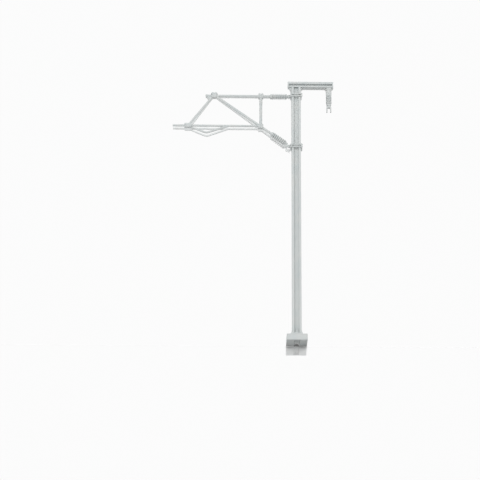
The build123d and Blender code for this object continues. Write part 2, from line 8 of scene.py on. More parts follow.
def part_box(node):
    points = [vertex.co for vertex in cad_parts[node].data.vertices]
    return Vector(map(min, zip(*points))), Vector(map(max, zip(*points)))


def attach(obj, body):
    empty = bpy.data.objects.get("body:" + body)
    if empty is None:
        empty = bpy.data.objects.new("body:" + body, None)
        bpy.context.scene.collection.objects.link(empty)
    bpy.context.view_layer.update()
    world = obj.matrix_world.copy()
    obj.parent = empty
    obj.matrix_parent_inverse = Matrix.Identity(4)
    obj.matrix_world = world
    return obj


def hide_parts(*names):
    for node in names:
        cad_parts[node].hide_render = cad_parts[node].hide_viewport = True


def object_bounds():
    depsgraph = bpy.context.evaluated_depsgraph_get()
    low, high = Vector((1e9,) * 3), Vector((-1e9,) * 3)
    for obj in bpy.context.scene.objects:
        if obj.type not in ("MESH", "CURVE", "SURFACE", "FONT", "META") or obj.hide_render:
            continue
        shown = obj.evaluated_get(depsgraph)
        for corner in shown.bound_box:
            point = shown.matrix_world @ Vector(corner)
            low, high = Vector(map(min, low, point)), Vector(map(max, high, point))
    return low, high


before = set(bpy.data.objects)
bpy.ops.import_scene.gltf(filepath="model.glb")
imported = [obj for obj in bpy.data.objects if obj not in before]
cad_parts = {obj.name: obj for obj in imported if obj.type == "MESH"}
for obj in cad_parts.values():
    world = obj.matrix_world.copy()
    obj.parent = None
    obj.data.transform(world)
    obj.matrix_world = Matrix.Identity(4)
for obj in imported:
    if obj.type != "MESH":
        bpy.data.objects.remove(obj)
CAD_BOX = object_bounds()
MM = 0.001
UP, ACROSS, DEEP = Vector((0, 0, 1)), Vector((1, 0, 0)), Vector((0, 1, 0))


# ---------------------------------------------------------------- camera, looking up from below the floor
ELEVATION, ROLL = math.radians(-19.91), math.radians(0.536)
AIM = Vector((-11.669, 0.0, 21.979)) * MM
DISTANCE = 326.32 * MM
LENS = 118.5
CLIP_NEAR, CLIP_FAR = 0.01, 20

camera = bpy.data.objects.new("camera", bpy.data.cameras.new("camera"))
bpy.context.scene.collection.objects.link(camera)
view = Vector((0, math.cos(ELEVATION), -math.sin(ELEVATION)))
camera.location = AIM - view * DISTANCE
camera.rotation_mode = "QUATERNION"
roll = Matrix.Rotation(ROLL, 4, "Z").to_quaternion()
camera.rotation_quaternion = view.to_track_quat("-Z", "Y") @ roll
camera.data.lens = LENS
camera.data.clip_start, camera.data.clip_end = CLIP_NEAR, CLIP_FAR
bpy.context.scene.camera = camera


# ---------------------------------------------------------------- shader helpers
# A Mix node's sockets, when it mixes colours.
MIX_SHARE, MIX_UNDER, MIX_OVER, MIX_RESULT = 0, 6, 7, 2
CORNER_SAMPLES, BEVEL_SAMPLES = 16, 12


class Tree:
    """A new material and its nodes."""

    def __init__(self, name):
        self.material = bpy.data.materials.new(name)
        self.material.use_nodes = True
        self.nodes = self.material.node_tree.nodes
        self.links = self.material.node_tree.links
        self.nodes.clear()
        self.out = self.nodes.new("ShaderNodeOutputMaterial")

    def add(self, kind, **settings):
        node = self.nodes.new("ShaderNode" + kind)
        for key, value in settings.items():
            setattr(node, key, value)
        return node

    def link(self, a, b):
        self.links.new(a, b)


def times(t, a, b):
    both = t.add("Math", operation="MULTIPLY")
    t.link(a, both.inputs[0])
    t.link(b, both.inputs[1])
    return both.outputs[0]


def ranged(t, value, low, high, new_low, new_high):
    """A value brought from one range to another, and held inside it."""
    node = t.add("MapRange")
    limits = {"From Min": low, "From Max": high, "To Min": new_low, "To Max": new_high}
    for socket, number in limits.items():
        node.inputs[socket].default_value = number
    t.link(value, node.inputs["Value"])
    return node.outputs[0]


def noise(t, place, size, detail=3.0):
    """Soft noise whose patches are about size millimetres across."""
    node = t.add("TexNoise")
    node.inputs["Scale"].default_value = 1 / (size * MM)
    node.inputs["Detail"].default_value = detail
    t.link(place, node.inputs["Vector"])
    return node.outputs["Fac"]


def patches(t, place, size, low, high, least):
    """Soft patches about size millimetres across: least where the noise is low, 1 where it is high."""
    return ranged(t, noise(t, place, size), low, high, least, 1)


def tinted(t, share, under, over):
    """The colour from a socket, with the colour over mixed in by share."""
    node = t.add("Mix", data_type="RGBA")
    t.link(share, node.inputs[MIX_SHARE])
    t.link(under, node.inputs[MIX_UNDER])
    node.inputs[MIX_OVER].default_value = over
    return node.outputs[MIX_RESULT]


def openness(t, reach):
    """1 in the open, and less the more of what lies within reach millimetres covers a point."""
    cover = t.add("AmbientOcclusion", samples=CORNER_SAMPLES)
    cover.inputs["Distance"].default_value = reach * MM
    return cover.outputs["AO"]


# ---------------------------------------------------------------- plastic, sizes in millimetres
PLASTIC_COLD = (0.535, 0.573, 0.575, 1)
PLASTIC_WARM = (0.590, 0.607, 0.598, 1)
PLASTIC_FLOW = (0.640, 0.655, 0.645, 1)
PLASTIC_WORN = (0.690, 0.705, 0.700, 1)
# The dark colour of the painted shade in corners and recesses.
PLASTIC_CORNER_SHADE = (0.300, 0.310, 0.300, 1)
PLASTIC_SPECK = (0.420, 0.420, 0.400, 1)
# Patches: their size, the noise where they start, the noise where they are full, and the least share.
MOTTLE = (2.2, 0.32, 0.68, 0)
# The patches of the painted corner shade.
CORNER_SHADE_PATCHES = (0.5, 0.3, 0.7, 0.5)
WORN_PATCHES = (0.8, 0.38, 0.62, 0.2)
# Shares: two values, and the share of the colour at each of them. Roughness is given in the same way.
FLOW_SIZE, FLOW_STRETCH, FLOW_SHARE = 0.55, 0.06, (0.45, 0.75, 0, 0.35)
SPECK_PITCH, SPECK_SHARE = 1.6, (0.03, 0.08, 0.2, 0)
# The painted corner shade: how far it looks for cover, and its share at two openness values.
CORNER_SHADE_REACH, CORNER_SHADE_SHARE = 0.35, (0.25, 0.8, 0.45, 0)
WORN_EDGE, WORN_SHARE = 0.07, (0.995, 0.90, 0, 0.7)
GRAIN_SIZE, GRAIN_DETAIL, GRAIN_STRENGTH, GRAIN_HEIGHT = 0.22, 1.0, 0.12, 0.006
WAVE_SIZE, WAVE_DETAIL, WAVE_STRENGTH, WAVE_HEIGHT = 1.2, 0.0, 0.3, 0.015
SPECULAR = 0.45
ROUGH_SIZE, ROUGHNESS = 0.7, (0.3, 0.7, 0.42, 0.60)


def mottle(t, place):
    """Colder and warmer grey in soft patches."""
    node = t.add("Mix", data_type="RGBA")
    node.inputs[MIX_UNDER].default_value = PLASTIC_COLD
    node.inputs[MIX_OVER].default_value = PLASTIC_WARM
    t.link(patches(t, place, *MOTTLE), node.inputs[MIX_SHARE])
    return node.outputs[MIX_RESULT]


def with_flow_lines(t, along, color):
    """Paler streaks, as the plastic flowed up the mould."""
    return tinted(t, ranged(t, noise(t, along, FLOW_SIZE), *FLOW_SHARE), color, PLASTIC_FLOW)


def with_specks(t, place, color):
    """Small darker specks in the plastic."""
    speck = t.add("TexVoronoi")
    speck.inputs["Scale"].default_value = 1 / (SPECK_PITCH * MM)
    t.link(place, speck.inputs["Vector"])
    return tinted(t, ranged(t, speck.outputs["Distance"], *SPECK_SHARE), color, PLASTIC_SPECK)


def with_painted_corner_shade(t, place, color):
    """Painted shade in the corners and recesses, darker in some places than in others."""
    share = ranged(t, openness(t, CORNER_SHADE_REACH), *CORNER_SHADE_SHARE)
    return tinted(t, times(t, share, patches(t, place, *CORNER_SHADE_PATCHES)), color, PLASTIC_CORNER_SHADE)


def with_worn_edges(t, place, color):
    """Paler rubbed edges, found where the surface turns from what it would be with wider edges."""
    bevel = t.add("Bevel", samples=BEVEL_SAMPLES)
    bevel.inputs["Radius"].default_value = WORN_EDGE * MM
    turn = t.add("VectorMath", operation="DOT_PRODUCT")
    t.link(t.add("NewGeometry").outputs["Normal"], turn.inputs[0])
    t.link(bevel.outputs[0], turn.inputs[1])
    share = ranged(t, turn.outputs["Value"], *WORN_SHARE)
    return tinted(t, times(t, share, patches(t, place, *WORN_PATCHES)), color, PLASTIC_WORN)


def bump(t, height, strength, distance):
    """A bump node whose height is distance millimetres."""
    node = t.add("Bump")
    node.inputs["Strength"].default_value = strength
    node.inputs["Distance"].default_value = distance * MM
    t.link(height, node.inputs["Height"])
    return node


def relief(t, place, along):
    """The surface's fine grain, with long low waves over it."""
    grain = bump(t, noise(t, place, GRAIN_SIZE, GRAIN_DETAIL), GRAIN_STRENGTH, GRAIN_HEIGHT)
    waves = bump(t, noise(t, along, WAVE_SIZE, WAVE_DETAIL), WAVE_STRENGTH, WAVE_HEIGHT)
    t.link(grain.outputs[0], waves.inputs["Normal"])
    return waves.outputs[0]


def plastic(name):
    """Light grey moulding plastic: mottled, with flow lines, rubbed edges and painted shade in its
    corners.
    """
    t = Tree(name)
    place = t.add("TexCoord").outputs["Object"]
    stretch = t.add("Mapping")
    stretch.inputs["Scale"].default_value = (1, 1, FLOW_STRETCH)
    t.link(place, stretch.inputs["Vector"])
    along = stretch.outputs[0]
    color = with_flow_lines(t, along, mottle(t, place))
    color = with_specks(t, place, color)
    # Painted shade in the corners and recesses.
    color = with_painted_corner_shade(t, place, color)
    color = with_worn_edges(t, place, color)
    bsdf = t.add("BsdfPrincipled")
    bsdf.inputs["Specular IOR Level"].default_value = SPECULAR
    t.link(color, bsdf.inputs["Base Color"])
    t.link(ranged(t, noise(t, place, ROUGH_SIZE), *ROUGHNESS), bsdf.inputs["Roughness"])
    t.link(relief(t, place, along), bsdf.inputs["Normal"])
    t.link(bsdf.outputs[0], t.out.inputs[0])
    return t.material


PLASTIC = plastic("moulded_plastic")


# ---------------------------------------------------------------- mesh helpers, millimetres and degrees
EDGE, WIDE_EDGE, FINE_EDGE, THIN_EDGE, ROD_EDGE = 0.05, 0.06, 0.04, 0.03, 0.02
EDGE_SEGMENTS, EDGE_PROFILE = 3, 0.5
FLAT_TURN, EASED_TURN, SHARP_TURN = 1, 32, 34
SMALLEST_STEP = 0.0005
RUN_PARTS = 2.01
ROUND_SIDES, SHED_SIDES, RING_SIDES, PIN_SIDES = 36, 48, 32, 28
ROD_SIDES, STUD_SIDES, HEX_SIDES = 24, 20, 6
ROUND_STEPS, MARK_STEPS = 4, 2
# How far one part of a piece is sunk into the next.
SUNK, SUNK_DEEP, SUNK_NUT = 0.03, 0.05, 0.02
SEAM_WIDTH, SEAM_HEIGHT = 0.07, 0.03
MARK_RIM, MARK_SLOPE, MARK_ROUND = 0.06, 0.09, 0.015


def span(node):
    """A CAD node's lowest and highest corners."""
    low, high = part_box(node)
    return low / MM, high / MM


def middle(node):
    low, high = span(node)
    return (low + high) / 2


def upright(node):
    """The top, foot and radius of a CAD node that is turned about an upright axis."""
    low, high = span(node)
    centre = (low + high) / 2
    return Vector((centre.x, 0, high.z)), Vector((centre.x, 0, low.z)), (high.x - low.x) / 2


def level(node):
    """The height and radius of a CAD node that is turned about a level axis."""
    low, high = span(node)
    return (low.z + high.z) / 2, (high.z - low.z) / 2


def joined(parts):
    """One mesh out of several closed ones."""
    whole = bmesh.new()
    for part in parts:
        mesh = bpy.data.meshes.new("part")
        part.to_mesh(mesh)
        part.free()
        whole.from_mesh(mesh)
        bpy.data.meshes.remove(mesh)
    return whole


def eased(bm, edge):
    """Rounds every edge that turns by more than EASED_TURN."""
    bmesh.ops.recalc_face_normals(bm, faces=bm.faces)
    keen = math.radians(EASED_TURN)
    edges = [e for e in bm.edges if len(e.link_faces) == 2 and e.calc_face_angle() > keen]
    bmesh.ops.bevel(bm, geom=edges, offset=edge, offset_type="OFFSET", segments=EDGE_SEGMENTS,
                    profile=EDGE_PROFILE, affect="EDGES", clamp_overlap=True)
    return bm


def softened(node, edge=EDGE):
    """A fine copy of a CAD node, with the edges as round as a moulding's."""
    bm = bmesh.new()
    bm.from_mesh(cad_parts[node].data)
    bmesh.ops.scale(bm, vec=(1 / MM,) * 3, verts=bm.verts)
    bmesh.ops.remove_doubles(bm, verts=bm.verts, dist=SMALLEST_STEP)
    bmesh.ops.dissolve_limit(bm, angle_limit=math.radians(FLAT_TURN), verts=bm.verts, edges=bm.edges)
    return eased(bm, edge)


def prism(outline, along, edge):
    """A flat outline of points drawn out along a vector."""
    bm = bmesh.new()
    face = bm.faces.new([bm.verts.new(p) for p in outline])
    drawn = bmesh.ops.extrude_face_region(bm, geom=[face])["geom"]
    bmesh.ops.translate(bm, vec=along, verts=[v for v in drawn if isinstance(v, bmesh.types.BMVert)])
    return eased(bm, edge)


def plate(outline, front, depth, edge):
    """A plate that faces the viewer: its outline gives (x, z), and front is its nearer face's y."""
    return prism([Vector((x, front, z)) for x, z in outline], DEEP * depth, edge)


def box(low, high, edge):
    corners = [(low.x, low.y), (high.x, low.y), (high.x, high.y), (low.x, high.y)]
    return prism([Vector((x, y, low.z)) for x, y in corners], UP * (high.z - low.z), edge)


def ring(bm, centre, out, side, radius, sides):
    """Points round a centre, in the plane of out and side; at radius 0, one point repeated."""
    if radius == 0:
        return [bm.verts.new(centre)] * sides
    turns = [math.tau * i / sides for i in range(sides)]
    return [bm.verts.new(centre + (out * math.cos(a) + side * math.sin(a)) * radius) for a in turns]


def skin(bm, rings):
    """The faces from each ring to the next."""
    sides = len(rings[0])
    for a, b in zip(rings, rings[1:]):
        for i in range(sides):
            j = (i + 1) % sides
            bm.faces.new(list(dict.fromkeys((a[i], a[j], b[j], b[i]))))


def turned(start, axis, outline, sides=ROUND_SIDES):
    """A body of revolution: the outline gives (distance along the axis, radius) from end to end."""
    axis = axis.normalized()
    out = axis.orthogonal().normalized()
    side = axis.cross(out)
    bm = bmesh.new()
    skin(bm, [ring(bm, start + axis * along, out, side, radius, sides) for along, radius in outline])
    return bm


def rounded(outline, radius=EDGE, steps=ROUND_STEPS):
    """An outline with its inner corners rounded, by less than half of the runs beside them."""
    points = [Vector(p) for p in outline]
    result = [points[0]]
    for before, corner, after in zip(points, points[1:], points[2:]):
        reach = min(radius, (before - corner).length / RUN_PARTS, (after - corner).length / RUN_PARTS)
        a = corner + (before - corner).normalized() * reach
        b = corner + (after - corner).normalized() * reach
        for step in range(steps + 1):
            t = step / steps
            result.append(a * (1 - t) ** 2 + corner * 2 * t * (1 - t) + b * t ** 2)
    result.append(points[-1])
    return [tuple(p) for p in result]


def bar(start, end, radius, edge=EDGE, sides=ROUND_SIDES):
    """A round bar with eased ends."""
    length = (end - start).length
    outline = [(0, 0), (0, radius), (length, radius), (length, 0)]
    return turned(start, end - start, rounded(outline, edge), sides)


def seam(start, end, outward):
    """The fine ridge that the joint of a mould leaves along a piece."""
    side = (end - start).cross(outward).normalized() * SEAM_WIDTH / 2
    lift = outward.normalized() * SEAM_HEIGHT
    foot = [start - side - lift, start + side - lift]
    top = [start + side / 2 + lift, start - side / 2 + lift]
    return prism(foot + top, end - start, SEAM_HEIGHT / 3)


def side_seams(low, high, foot, head):
    """Upright seams, from one height to another, on both sides of a piece between two corners."""
    return [seam(Vector((x, 0, foot)), Vector((x, 0, head)), ACROSS * x) for x in (low.x, high.x)]


def pin_mark(centre, outward, radius, height):
    """The shallow round mark of a mould's ejector pin: a raised rim round a flat, which stands a little
    proud of the face that it is on."""
    flat = height / 4
    outline = [(-height, 0), (-height, radius), (height, radius), (height, radius - MARK_RIM)]
    outline += [(flat, radius - MARK_SLOPE), (flat, 0)]
    return turned(centre, outward, rounded(outline, MARK_ROUND, MARK_STEPS), PIN_SIDES)


def hex_nut(centre, axis, radius, height, stud):
    """A nut with a domed stud end standing out of it, in shares of its height and radii."""
    nut = [(-SUNK_NUT, 0), (-SUNK_NUT, radius), (height * 0.75, radius)]
    nut += [(height, radius * 0.86), (height, 0)]
    dome = [(0, 0), (0, stud), (height * 1.25, stud), (height * 1.6, stud * 0.55), (height * 1.65, 0)]
    return [turned(centre, axis, nut, HEX_SIDES), turned(centre, axis, dome, STUD_SIDES)]


def mould(parts, node):
    """The finished piece that stands for a CAD node."""
    bm = joined(parts)
    bmesh.ops.remove_doubles(bm, verts=bm.verts, dist=SMALLEST_STEP)
    bmesh.ops.recalc_face_normals(bm, faces=bm.faces)
    bmesh.ops.scale(bm, vec=(MM,) * 3, verts=bm.verts)
    mesh = bpy.data.meshes.new(node + "_moulding")
    bm.to_mesh(mesh)
    bm.free()
    mesh.materials.append(PLASTIC)
    mesh.shade_smooth()
    mesh.set_sharp_from_angle(angle=math.radians(SHARP_TURN))
    piece = bpy.data.objects.new(mesh.name, mesh)
    bpy.context.scene.collection.objects.link(piece)
    weighted = piece.modifiers.new("weighted", "WEIGHTED_NORMAL")
    weighted.keep_sharp = True
    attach(piece, "root")
    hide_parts(node)


# ---------------------------------------------------------------- foundation, mast and cross arm
WEB_HALF, ARM_WEB_HALF, ARM_RECESS_MIDDLE = 0.25, 0.275, 0.495
BLOCK_SEAM_FOOT, BLOCK_SEAM_HEAD = 0.08, 0.1
MAST_SEAM_FOOT, ARM_SEAM_FOOT = 1.0, 0.05
MAST_MARK_PITCH, MAST_MARK_FOOT, MAST_MARK_HEAD = 11.0, 8.0, 3
MAST_MARK_RADIUS, MAST_MARK_HEIGHT = 0.36, 0.03
ARM_MARKS, ARM_MARK_RADIUS, ARM_MARK_HEIGHT = (-0.6, 3.2, 7.0), 0.2, 0.025


def foundation():
    low, high = span("foundation_block")
    seams = side_seams(low, high, BLOCK_SEAM_FOOT, high.z - BLOCK_SEAM_HEAD)
    mould([softened("foundation_block", WIDE_EDGE)] + seams, "foundation_block")
    mould([softened("mast_plinth")], "mast_plinth")


def mast():
    """The column, with a mould's seams on its sides and ejector pin marks up the web at its back."""
    low, high = span("mast_column")
    parts = [softened("mast_column", WIDE_EDGE)] + side_seams(low, high, low.z + MAST_SEAM_FOOT, high.z)
    z = MAST_MARK_FOOT
    while z < high.z - MAST_MARK_HEAD:
        parts.append(pin_mark(Vector((0, WEB_HALF, z)), DEEP, MAST_MARK_RADIUS, MAST_MARK_HEIGHT))
        z += MAST_MARK_PITCH
    mould(parts, "mast_column")
    mould([softened("side_gussets", FINE_EDGE)], "side_gussets")
    mould([softened("web_gussets", FINE_EDGE)], "web_gussets")


def cross_arm():
    """The arm, with a seam along its top and down its ends, and pin marks on the web at its back."""
    low, high = span("cross_arm")
    parts = [softened("cross_arm")]
    parts.append(seam(Vector((low.x, 0, high.z)), Vector((high.x, 0, high.z)), UP))
    parts += side_seams(low, high, low.z + ARM_SEAM_FOOT, high.z)
    for x in ARM_MARKS:
        place = Vector((x, ARM_WEB_HALF, low.z + ARM_RECESS_MIDDLE))
        parts.append(pin_mark(place, DEEP, ARM_MARK_RADIUS, ARM_MARK_HEIGHT))
    mould(parts, "cross_arm")
    mould([softened("arm_gussets", FINE_EDGE)], "arm_gussets")


# ---------------------------------------------------------------- feeder wire support
HANGER_NECK, SLEEVE_END, SLEEVE_SEAM_INSET = 0.9, 0.94, 0.2
SHED_SHARE, SHED_CREST, SHED_ROUND = 0.62, 0.84, 0.08
FEEDER_SHEDS, FEEDER_CORE = 5, 0.42
FORK_BOSS, FORK_BOSS_RADIUS = 0.4, 0.5
FORK_NECK, FORK_NECK_RADIUS, FORK_NECK_SUNK = 0.7, 0.36, 0.1
FORK_INNER, FORK_YOKE, FORK_HALF = 0.28, 0.26, 0.25
BOLT_SIDE, BOLT_LIFT, BOLT_RADIUS, BOLT_HEIGHT, BOLT_STUD = 0.4, 0.3, 0.11, 0.05, 0.05


def sheds(length, count, radius, core):
    """The outline of an insulator's ribbed body."""
    pitch = length / count
    half = SHED_SHARE * pitch / 2
    crest = half * SHED_CREST
    outline = [(0, 0), (0, core)]
    for shed in range(count):
        centre = (shed + 0.5) * pitch
        outline += [(centre - half, core), (centre - crest, radius)]
        outline += [(centre + crest, radius), (centre + half, core)]
    outline += [(length, core), (length, 0)]
    return rounded(outline, SHED_ROUND)


def feeder_hanger():
    """A round rod under the arm that steps in to a narrower end."""
    top, foot, radius = upright("feeder_hanger")
    drop = top.z - foot.z
    neck = radius * HANGER_NECK
    outline = [(-SUNK_DEEP, 0), (-SUNK_DEEP, radius), (drop * 0.55, radius)]
    outline += [(drop * 0.7, neck), (drop, neck), (drop, 0)]
    mould([turned(top, -UP, rounded(outline))], "feeder_hanger")


def feeder_sleeve():
    """A plain barrel with narrower ends and a seam down each side."""
    top, foot, radius = upright("feeder_sleeve")
    drop = top.z - foot.z
    end = radius * SLEEVE_END
    outline = [(-SUNK, 0), (-SUNK, end), (drop * 0.08, end), (drop * 0.16, radius)]
    outline += [(drop * 0.84, radius), (drop * 0.92, end), (drop + SUNK, end), (drop + SUNK, 0)]
    parts = [turned(top, -UP, rounded(outline))]
    inset = UP * SLEEVE_SEAM_INSET
    for x in (radius, -radius):
        parts.append(seam(top + ACROSS * x - inset, foot + ACROSS * x + inset, ACROSS * x))
    mould(parts, "feeder_sleeve")


def feeder_insulator():
    top, foot, radius = upright("feeder_insulator")
    outline = sheds(top.z - foot.z, FEEDER_SHEDS, radius, FEEDER_CORE)
    mould([turned(top, -UP, outline, SHED_SIDES)], "feeder_insulator")


def feeder_fork():
    """A stem that carries a yoke with two legs, with a small bolt through each leg."""
    top, foot, outer = upright("feeder_fork")
    stem_end = FORK_NECK + FORK_NECK_SUNK
    stem = [(-SUNK, 0), (-SUNK, FORK_BOSS_RADIUS), (FORK_BOSS, FORK_BOSS_RADIUS)]
    stem += [(FORK_BOSS, FORK_NECK_RADIUS), (stem_end, FORK_NECK_RADIUS), (stem_end, 0)]
    x, yoke, z, inner = top.x, top.z - FORK_NECK, foot.z, FORK_INNER
    crotch = yoke - FORK_YOKE
    outline = [(x - outer, yoke), (x + outer, yoke), (x + outer, z), (x + inner, z), (x + inner, crotch)]
    outline += [(x - inner, crotch), (x - inner, z), (x - outer, z)]
    parts = [turned(top, -UP, rounded(stem)), plate(outline, -FORK_HALF, 2 * FORK_HALF, WIDE_EDGE)]
    for side in (-1, 1):
        for leg in (-1, 1):
            place = Vector((x + leg * BOLT_SIDE, side * FORK_HALF, z + BOLT_LIFT))
            parts += hex_nut(place, DEEP * side, BOLT_RADIUS, BOLT_HEIGHT, BOLT_STUD)
    mould(parts, "feeder_fork")


# ---------------------------------------------------------------- clamps and hinges
CHEEK = 0.22
ROD_RADIUS, ROD_HALF_PITCH, ROD_INSET = 0.13, 0.23, 0.05
ROD_NUT_RADIUS, ROD_NUT_HEIGHT, ROD_STUD = 0.19, 0.1, 0.09
ROD_HEAD = [(-SUNK_NUT, 0), (-SUNK_NUT, 0.15), (0.03, 0.15), (0.07, 0.09), (0.08, 0)]
EAR_RADIUS, EAR_INNER, EAR_OUTER = 0.24, 0.15, 0.29
EAR_STEPS, EAR_STEP_TURN = 12, 15
PIN_TAIL, PIN_RADIUS, PIN_HEAD_RADIUS = 0.08, 0.1, 0.18
EYE_RADIUS, EYE_GAP = 0.22, 0.02
SHANK_RADIUS, SHANK_LAP, LINK_GAP = 0.17, 0.05, 0.05
LUG_RADIUS, LUG_HALF, LUG_NUT_RADIUS, LUG_NUT_HEIGHT, LUG_STUD = 0.2, 0.17, 0.12, 0.05, 0.05
STRAP_SHARE, STRAP_HALF = 0.96, 0.13
CRANK_HALF, CRANK_HALF_HEIGHT = 0.14, 0.12

PIN_X = middle("hinge_pins").x
UPPER_PIN_Z = middle("upper_link").z
LOWER_PIN_Z = span("hinge_pins")[0].z + PIN_TAIL + EAR_OUTER


def ear(x_cheek, z_low, z_high):
    """A rounded lug that holds one end of a hinge pin."""
    outline = [Vector((x_cheek, EAR_RADIUS, z_low)), Vector((x_cheek, -EAR_RADIUS, z_low))]
    for step in range(EAR_STEPS + 1):
        turn = math.radians(-90 - EAR_STEP_TURN * step)
        outline.append(Vector((PIN_X + math.cos(turn) * EAR_RADIUS, math.sin(turn) * EAR_RADIUS, z_low)))
    return prism(outline, UP * (z_high - z_low), THIN_EDGE)


def tie_rod(place, left, right):
    """A rod between a clamp's two sides, with a nut at its right end and a round head at its left."""
    start, end = place + ACROSS * (left + ROD_INSET), place + ACROSS * (right - ROD_INSET)
    parts = [bar(start, end, ROD_RADIUS, ROD_EDGE, ROD_SIDES)]
    parts += hex_nut(place + ACROSS * right, ACROSS, ROD_NUT_RADIUS, ROD_NUT_HEIGHT, ROD_STUD)
    parts.append(turned(place + ACROSS * left, -ACROSS, ROD_HEAD, STUD_SIDES))
    return parts


def mast_clamp(node, pin_z):
    """Two cheeks on the mast's sides, tie rods before and behind it, and the hinge's ears on the left."""
    low, high = span(node)
    mast_low, mast_high = span("mast_column")
    z = (low.z + high.z) / 2
    left, right = mast_low.x - CHEEK, mast_high.x + CHEEK
    parts = [box(Vector((left, low.y, low.z)), Vector((mast_low.x, high.y, high.z)), WIDE_EDGE)]
    parts.append(box(Vector((mast_high.x, low.y, low.z)), Vector((right, high.y, high.z)), WIDE_EDGE))
    for y in (-1, 1):
        for dz in (-ROD_HALF_PITCH, ROD_HALF_PITCH):
            parts += tie_rod(Vector((0, y * (mast_high.y + ROD_RADIUS), z + dz)), left, right)
    parts.append(ear(left + SUNK, pin_z + EAR_INNER, pin_z + EAR_OUTER))
    parts.append(ear(left + SUNK, pin_z - EAR_OUTER, pin_z - EAR_INNER))
    mould(parts, node)


def hinge_pins():
    """The pins of both hinges, each with a wide head over its ears and a tapered tail under them."""
    length = 2 * EAR_OUTER + PIN_TAIL
    outline = [(0, 0), (0, 0.06), (0.04, PIN_RADIUS), (length, PIN_RADIUS), (length, PIN_HEAD_RADIUS)]
    outline += [(length + 0.05, 0.17), (length + 0.09, 0.1), (length + 0.1, 0)]
    parts = []
    for z in (UPPER_PIN_Z, LOWER_PIN_Z):
        parts.append(turned(Vector((PIN_X, 0, z - EAR_OUTER - PIN_TAIL)), UP, outline, PIN_SIDES))
    mould(parts, "hinge_pins")


def hinge_eye(z):
    """The tongue of a link, between a clamp's ears."""
    foot = Vector((PIN_X, 0, z - EAR_INNER + EYE_GAP))
    return bar(foot, Vector((PIN_X, 0, z + EAR_INNER - EYE_GAP)), EYE_RADIUS, FINE_EDGE)


def upper_link():
    nose = span("upper_insulator_mast_cap")[1].x
    start = Vector((nose - SHANK_LAP, 0, UPPER_PIN_Z))
    shank = bar(start, Vector((PIN_X, 0, UPPER_PIN_Z)), SHANK_RADIUS, THIN_EDGE, PIN_SIDES)
    mould([hinge_eye(UPPER_PIN_Z), shank], "upper_link")


def lower_link(nose):
    """A crank from the hinge's eye to an upright strap between two lugs, and a shank to the insulator."""
    x = PIN_X - EAR_RADIUS - LINK_GAP - LUG_RADIUS
    top = Vector((x, 0, span("lower_link")[1].z - LUG_RADIUS))
    foot = Vector((x, 0, LOWER_PIN_Z))
    half = Vector((LUG_RADIUS * STRAP_SHARE, STRAP_HALF, 0))
    strap = box(foot - half, top + half, FINE_EDGE)
    crank_end = Vector((PIN_X, CRANK_HALF, LOWER_PIN_Z + CRANK_HALF_HEIGHT))
    crank = box(foot - Vector((0, CRANK_HALF, CRANK_HALF_HEIGHT)), crank_end, FINE_EDGE)
    shank = bar(top, nose, SHANK_RADIUS, THIN_EDGE, PIN_SIDES)
    parts = [hinge_eye(LOWER_PIN_Z), strap, crank, shank]
    for lug in (top, foot):
        parts.append(bar(lug - DEEP * LUG_HALF, lug + DEEP * LUG_HALF, LUG_RADIUS, EDGE, PIN_SIDES))
    for side in (-1, 1):
        place = top + DEEP * LUG_HALF * side
        parts += hex_nut(place, DEEP * side, LUG_NUT_RADIUS, LUG_NUT_HEIGHT, LUG_STUD)
    mould(parts, "lower_link")


# ---------------------------------------------------------------- long-rod insulators
CORE_RADIUS, SHED_COUNT = 0.3, 7
CAP_RADIUS, NOSE_RADIUS, CAP_ROUND = 0.5, 0.3, 0.06


def length_of(node):
    """The length of a CAD node that lies along X."""
    low, high = span(node)
    return high.x - low.x


def long_rod(prefix, axis):
    """An insulator with its two caps, along an axis that points away from the mast; gives its two ends.
    The lower one slopes, so the lengths are read from the upper one, which is level."""
    length = length_of("upper_insulator")
    mast_cap, tube_cap = length_of("upper_insulator_mast_cap"), length_of("upper_insulator_tube_cap")
    start = middle(prefix + "_insulator") - axis * length / 2
    end = start + axis * length
    radius = span("upper_insulator")[1].y
    body = turned(start, axis, sheds(length, SHED_COUNT, radius, CORE_RADIUS), SHED_SIDES)
    mould([body], prefix + "_insulator")

    mast_end = start - axis * mast_cap
    nose = [(0, 0), (0, NOSE_RADIUS), (mast_cap * 0.3, NOSE_RADIUS), (mast_cap * 0.72, CAP_RADIUS)]
    nose += [(mast_cap + SUNK, CAP_RADIUS), (mast_cap + SUNK, 0)]
    mould([turned(mast_end, axis, rounded(nose, CAP_ROUND))], prefix + "_insulator_mast_cap")

    tail = [(-SUNK, 0), (-SUNK, CAP_RADIUS), (tube_cap * 0.62, CAP_RADIUS)]
    tail += [(tube_cap, CAP_RADIUS * 0.8), (tube_cap, 0)]
    mould([turned(end, axis, rounded(tail, CAP_ROUND))], prefix + "_insulator_tube_cap")
    return mast_end, end + axis * tube_cap


# ---------------------------------------------------------------- cantilever frame
BRACKET_HEAD_INSET, RAKE_HEAD_INSET, RAKE_FOOT_INSET = 0.2, 0.25, 0.36
BRACKET_RADIUS, RAKE_RADIUS = 0.26, 0.22
FITTING_EDGE = 0.1
RING = [(-SUNK_NUT, 0), (-SUNK_NUT, 0.31), (0.08, 0.31), (0.08, 0.2), (0.03, 0.16), (0.03, 0)]
RING_ROUND = 0.03
RING_DOME = [(0, 0), (0, 0.1), (0.07, 0.1), (0.1, 0.05), (0.1, 0)]
SMALL_NUT_RADIUS, SMALL_NUT_HEIGHT, SMALL_NUT_STUD = 0.13, 0.06, 0.06
STOP_WEB_HALF, STOP_WEB_INSET, STOP_WEB_HEAD = 0.16, 0.06, 0.3
STOP_WEB_REACH, STOP_WEB_DROP = 0.3, 1.05
CLAMP_BODY_RISE, CLAMP_STUD_SIDE = 0.475, 0.3
